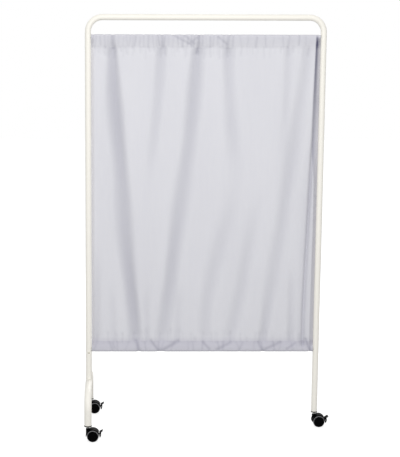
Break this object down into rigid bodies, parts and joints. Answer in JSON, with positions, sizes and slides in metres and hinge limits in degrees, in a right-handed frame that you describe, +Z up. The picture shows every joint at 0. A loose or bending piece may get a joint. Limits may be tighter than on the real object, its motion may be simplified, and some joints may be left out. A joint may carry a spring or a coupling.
{
  "type": "ward privacy screen",
  "caption": "Mobile ward privacy screen: bent tube frame with a cloth curtain between rods, an arched foot at one side, and swivel castors with brake pedals.",
  "frame": {"origin": "on the floor, midway between the part's furthest points along X and midway between the two legs of the foot along Y", "axes": "+Z up; +X along the screen, from the arched foot to the single leg; -Y is the front"},
  "size_m": [1.053, 0.4672, 1.76],
  "materials": {
    "powder_coat": "ivory powder coat, satin",
    "cloth": "pale grey plain woven cloth, matt",
    "zinc_steel": "bright zinc plated",
    "screw_steel": "zinc plated, dull",
    "black_nylon": "moulded, satin",
    "wheel_nylon": "moulded, satin",
    "plug_plastic": "moulded, matt"
  },
  "bodies": {
    "frame": {"upper_frame": "powder_coat", "left_foot": "powder_coat", "foot_screw": "screw_steel", "top_rod": "zinc_steel", "bottom_rod": "zinc_steel", "curtain": "cloth", "front_left_castor_plug": "plug_plastic", "rear_left_castor_plug": "plug_plastic", "right_castor_plug": "plug_plastic"},
    "front_left_swivel": {"front_left_castor_hood": "black_nylon", "front_left_castor_stem": "zinc_steel", "front_left_castor_axle": "zinc_steel", "front_left_castor_pedal_pin": "zinc_steel"},
    "front_left_front_roller": {"front_left_castor_front_wheel": "wheel_nylon", "front_left_castor_front_cap": "black_nylon"},
    "front_left_back_roller": {"front_left_castor_back_wheel": "wheel_nylon", "front_left_castor_back_cap": "black_nylon"},
    "front_left_brake": {"front_left_castor_pedal": "black_nylon"},
    "rear_left_swivel": {"rear_left_castor_hood": "black_nylon", "rear_left_castor_stem": "zinc_steel", "rear_left_castor_axle": "zinc_steel", "rear_left_castor_pedal_pin": "zinc_steel"},
    "rear_left_front_roller": {"rear_left_castor_front_wheel": "wheel_nylon", "rear_left_castor_front_cap": "black_nylon"},
    "rear_left_back_roller": {"rear_left_castor_back_wheel": "wheel_nylon", "rear_left_castor_back_cap": "black_nylon"},
    "rear_left_brake": {"rear_left_castor_pedal": "black_nylon"},
    "right_swivel": {"right_castor_hood": "black_nylon", "right_castor_stem": "zinc_steel", "right_castor_axle": "zinc_steel", "right_castor_pedal_pin": "zinc_steel"},
    "right_front_roller": {"right_castor_front_wheel": "wheel_nylon", "right_castor_front_cap": "black_nylon"},
    "right_back_roller": {"right_castor_back_wheel": "wheel_nylon", "right_castor_back_cap": "black_nylon"},
    "right_brake": {"right_castor_pedal": "black_nylon"}
  },
  "joints": [
    {"name": "front_left_swivel_turn", "type": "hinge", "parent": "frame", "child": "front_left_swivel", "pos_m": [-0.51048, -0.21, 0.063], "axis": [0, 0, 1], "continuous": true},
    {"name": "front_left_front_wheel_spin", "type": "hinge", "parent": "front_left_swivel", "child": "front_left_front_roller", "pos_m": [-0.49048, -0.2238, 0.025], "axis": [0, 1, 0], "continuous": true},
    {"name": "front_left_back_wheel_spin", "type": "hinge", "parent": "front_left_swivel", "child": "front_left_back_roller", "pos_m": [-0.49048, -0.1962, 0.025], "axis": [0, 1, 0], "continuous": true},
    {"name": "front_left_brake_press", "type": "hinge", "parent": "front_left_swivel", "child": "front_left_brake", "pos_m": [-0.46026, -0.21, 0.03098], "axis": [0, 1, 0], "range_deg": [0, 10]},
    {"name": "rear_left_swivel_turn", "type": "hinge", "parent": "frame", "child": "rear_left_swivel", "pos_m": [-0.51048, 0.21, 0.063], "axis": [0, 0, 1], "continuous": true},
    {"name": "rear_left_front_wheel_spin", "type": "hinge", "parent": "rear_left_swivel", "child": "rear_left_front_roller", "pos_m": [-0.49048, 0.1962, 0.025], "axis": [0, 1, 0], "continuous": true},
    {"name": "rear_left_back_wheel_spin", "type": "hinge", "parent": "rear_left_swivel", "child": "rear_left_back_roller", "pos_m": [-0.49048, 0.2238, 0.025], "axis": [0, 1, 0], "continuous": true},
    {"name": "rear_left_brake_press", "type": "hinge", "parent": "rear_left_swivel", "child": "rear_left_brake", "pos_m": [-0.46026, 0.21, 0.03098], "axis": [0, 1, 0], "range_deg": [0, 10]},
    {"name": "right_swivel_turn", "type": "hinge", "parent": "frame", "child": "right_swivel", "pos_m": [0.46452, 0, 0.063], "axis": [0, 0, 1], "continuous": true},
    {"name": "right_front_wheel_spin", "type": "hinge", "parent": "right_swivel", "child": "right_front_roller", "pos_m": [0.48452, -0.0138, 0.025], "axis": [0, 1, 0], "continuous": true},
    {"name": "right_back_wheel_spin", "type": "hinge", "parent": "right_swivel", "child": "right_back_roller", "pos_m": [0.48452, 0.0138, 0.025], "axis": [0, 1, 0], "continuous": true},
    {"name": "right_brake_press", "type": "hinge", "parent": "right_swivel", "child": "right_brake", "pos_m": [0.51474, 0, 0.03098], "axis": [0, 1, 0], "range_deg": [0, 10]}
  ]
}
